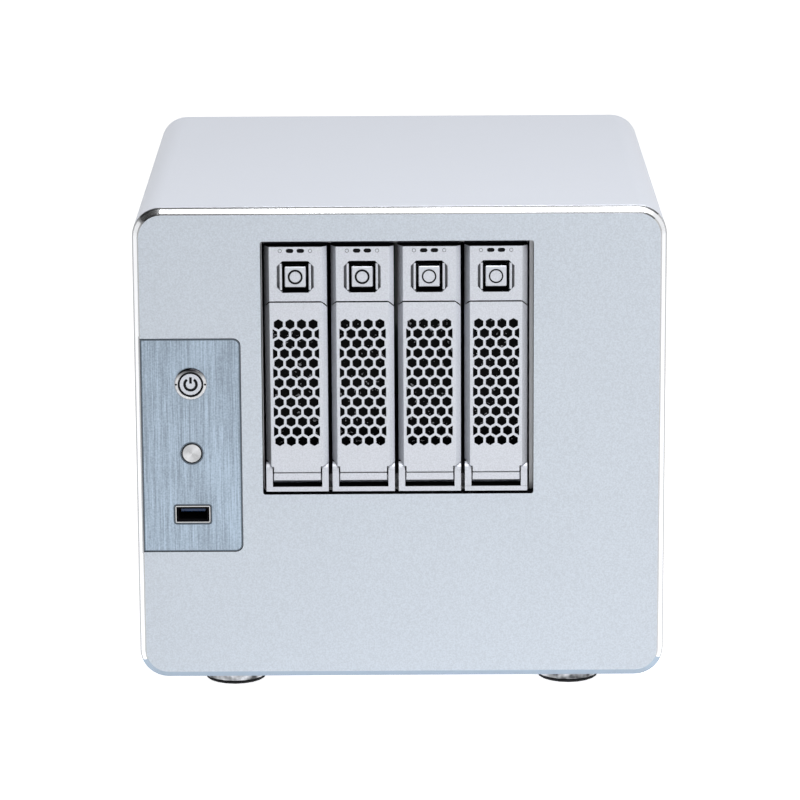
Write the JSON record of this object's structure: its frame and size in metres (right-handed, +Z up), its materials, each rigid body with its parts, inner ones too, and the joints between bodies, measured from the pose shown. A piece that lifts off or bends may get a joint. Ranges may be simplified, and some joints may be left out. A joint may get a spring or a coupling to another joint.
{
  "type": "network attached storage",
  "caption": "Desktop network storage cabinet: aluminium sleeve, milled front with perforated hot-swap drive trays, brushed control plate with power and reset buttons, rear fan and round feet.",
  "frame": {"origin": "centre of the bounding box in plan, on the plane the foot pads stand on", "axes": "+X to the right seen from the front, +Y to the rear, +Z up"},
  "size_m": [0.23, 0.2366, 0.2192],
  "materials": {
    "sandblasted_aluminium": "fine sandblasted, clear anodised",
    "shell_aluminium": "satin, clear anodised",
    "brushed_aluminium": "vertical brushing",
    "bright_metal": "polished",
    "sheet_steel": "zinc plated",
    "tray_paint": "silver, fine sand texture",
    "lever_paint": "silver, fine sand texture",
    "release_paint": "silver",
    "drive_casting": "dark cast and stamped metal",
    "circuit_board": "solder mask",
    "black_plastic": "moulded",
    "blue_plastic": "moulded",
    "rubber": "matt"
  },
  "bodies": {
    "cabinet": {"outer_shell": "shell_aluminium", "front_panel": "sandblasted_aluminium", "rear_panel": "sheet_steel", "control_plate": "brushed_aluminium", "power_bezel": "bright_metal", "usb_shell": "bright_metal", "usb_tongue": "blue_plastic", "front_io_board": "circuit_board", "cage_side_left": "sheet_steel", "cage_side_right": "sheet_steel", "cage_top_plate": "sheet_steel", "cage_bottom_plate": "sheet_steel", "backplane_board": "circuit_board", "backplane_socket_1": "black_plastic", "backplane_socket_2": "black_plastic", "backplane_socket_3": "black_plastic", "backplane_socket_4": "black_plastic", "rear_fan_frame": "black_plastic", "motherboard": "circuit_board", "memory_module": "circuit_board", "processor_heatsink": "shell_aluminium", "io_shield": "sheet_steel", "lan_port_1": "bright_metal", "lan_port_2": "bright_metal", "usb_port_stack": "bright_metal", "video_port": "bright_metal", "power_supply_case": "sheet_steel", "power_supply_inlet": "black_plastic", "foot_1": "bright_metal", "foot_2": "bright_metal", "foot_3": "bright_metal", "foot_4": "bright_metal", "foot_pad_1": "rubber", "foot_pad_2": "rubber", "foot_pad_3": "rubber", "foot_pad_4": "rubber"},
    "power_cap": {"power_button": "sandblasted_aluminium"},
    "reset_cap": {"reset_button": "release_paint"},
    "rear_fan": {"rear_fan_rotor": "black_plastic"},
    "supply_fan": {"power_supply_fan_rotor": "black_plastic"},
    "supply_rocker": {"power_supply_switch": "black_plastic"},
    "tray_1": {"tray_frame_1": "tray_paint", "hard_drive_1": "drive_casting"},
    "tray_2": {"tray_frame_2": "tray_paint", "hard_drive_2": "drive_casting"},
    "tray_3": {"tray_frame_3": "tray_paint", "hard_drive_3": "drive_casting"},
    "tray_4": {"tray_frame_4": "tray_paint", "hard_drive_4": "drive_casting"},
    "lever_1": {"tray_lever_1": "lever_paint"},
    "lever_2": {"tray_lever_2": "lever_paint"},
    "lever_3": {"tray_lever_3": "lever_paint"},
    "lever_4": {"tray_lever_4": "lever_paint"},
    "release_1": {"release_button_1": "release_paint"},
    "release_2": {"release_button_2": "release_paint"},
    "release_3": {"release_button_3": "release_paint"},
    "release_4": {"release_button_4": "release_paint"}
  },
  "joints": [
    {"name": "tray_1_slide", "type": "slide", "parent": "cabinet", "child": "tray_1", "axis": [0, -1, 0], "range_m": [0, 0.135]},
    {"name": "tray_2_slide", "type": "slide", "parent": "cabinet", "child": "tray_2", "axis": [0, -1, 0], "range_m": [0, 0.135]},
    {"name": "tray_3_slide", "type": "slide", "parent": "cabinet", "child": "tray_3", "axis": [0, -1, 0], "range_m": [0, 0.135]},
    {"name": "tray_4_slide", "type": "slide", "parent": "cabinet", "child": "tray_4", "axis": [0, -1, 0], "range_m": [0, 0.135]},
    {"name": "lever_1_hinge", "type": "hinge", "parent": "tray_1", "child": "lever_1", "pos_m": [-0.0449, -0.1121, 0.1022], "axis": [1, 0, 0], "range_deg": [0, 60]},
    {"name": "lever_2_hinge", "type": "hinge", "parent": "tray_2", "child": "lever_2", "pos_m": [-0.0161, -0.1121, 0.1022], "axis": [1, 0, 0], "range_deg": [0, 60]},
    {"name": "lever_3_hinge", "type": "hinge", "parent": "tray_3", "child": "lever_3", "pos_m": [0.0127, -0.1121, 0.1022], "axis": [1, 0, 0], "range_deg": [0, 60]},
    {"name": "lever_4_hinge", "type": "hinge", "parent": "tray_4", "child": "lever_4", "pos_m": [0.0415, -0.1121, 0.1022], "axis": [1, 0, 0], "range_deg": [0, 60]},
    {"name": "release_1_press", "type": "slide", "parent": "tray_1", "child": "release_1", "axis": [0, 1, 0], "range_m": [0, 0.002], "stiffness_N_per_m": 400, "springref_m": -0.003},
    {"name": "release_2_press", "type": "slide", "parent": "tray_2", "child": "release_2", "axis": [0, 1, 0], "range_m": [0, 0.002], "stiffness_N_per_m": 400, "springref_m": -0.003},
    {"name": "release_3_press", "type": "slide", "parent": "tray_3", "child": "release_3", "axis": [0, 1, 0], "range_m": [0, 0.002], "stiffness_N_per_m": 400, "springref_m": -0.003},
    {"name": "release_4_press", "type": "slide", "parent": "tray_4", "child": "release_4", "axis": [0, 1, 0], "range_m": [0, 0.002], "stiffness_N_per_m": 400, "springref_m": -0.003},
    {"name": "power_press", "type": "slide", "parent": "cabinet", "child": "power_cap", "axis": [0, 1, 0], "range_m": [0, 0.0015], "stiffness_N_per_m": 600, "springref_m": -0.003},
    {"name": "reset_press", "type": "slide", "parent": "cabinet", "child": "reset_cap", "axis": [0, 1, 0], "range_m": [0, 0.0008], "stiffness_N_per_m": 800, "springref_m": -0.002},
    {"name": "rear_fan_spin", "type": "hinge", "parent": "cabinet", "child": "rear_fan", "pos_m": [-0.0017, 0.103, 0.1482], "axis": [0, 1, 0], "continuous": true},
    {"name": "supply_fan_spin", "type": "hinge", "parent": "cabinet", "child": "supply_fan", "pos_m": [0.08525, 0.1085, 0.1532], "axis": [0, 1, 0], "continuous": true},
    {"name": "supply_switch_rock", "type": "hinge", "parent": "cabinet", "child": "supply_rocker", "pos_m": [0.08525, 0.1115, 0.1027], "axis": [0, 0, 1], "range_deg": [-14, 0]}
  ]
}
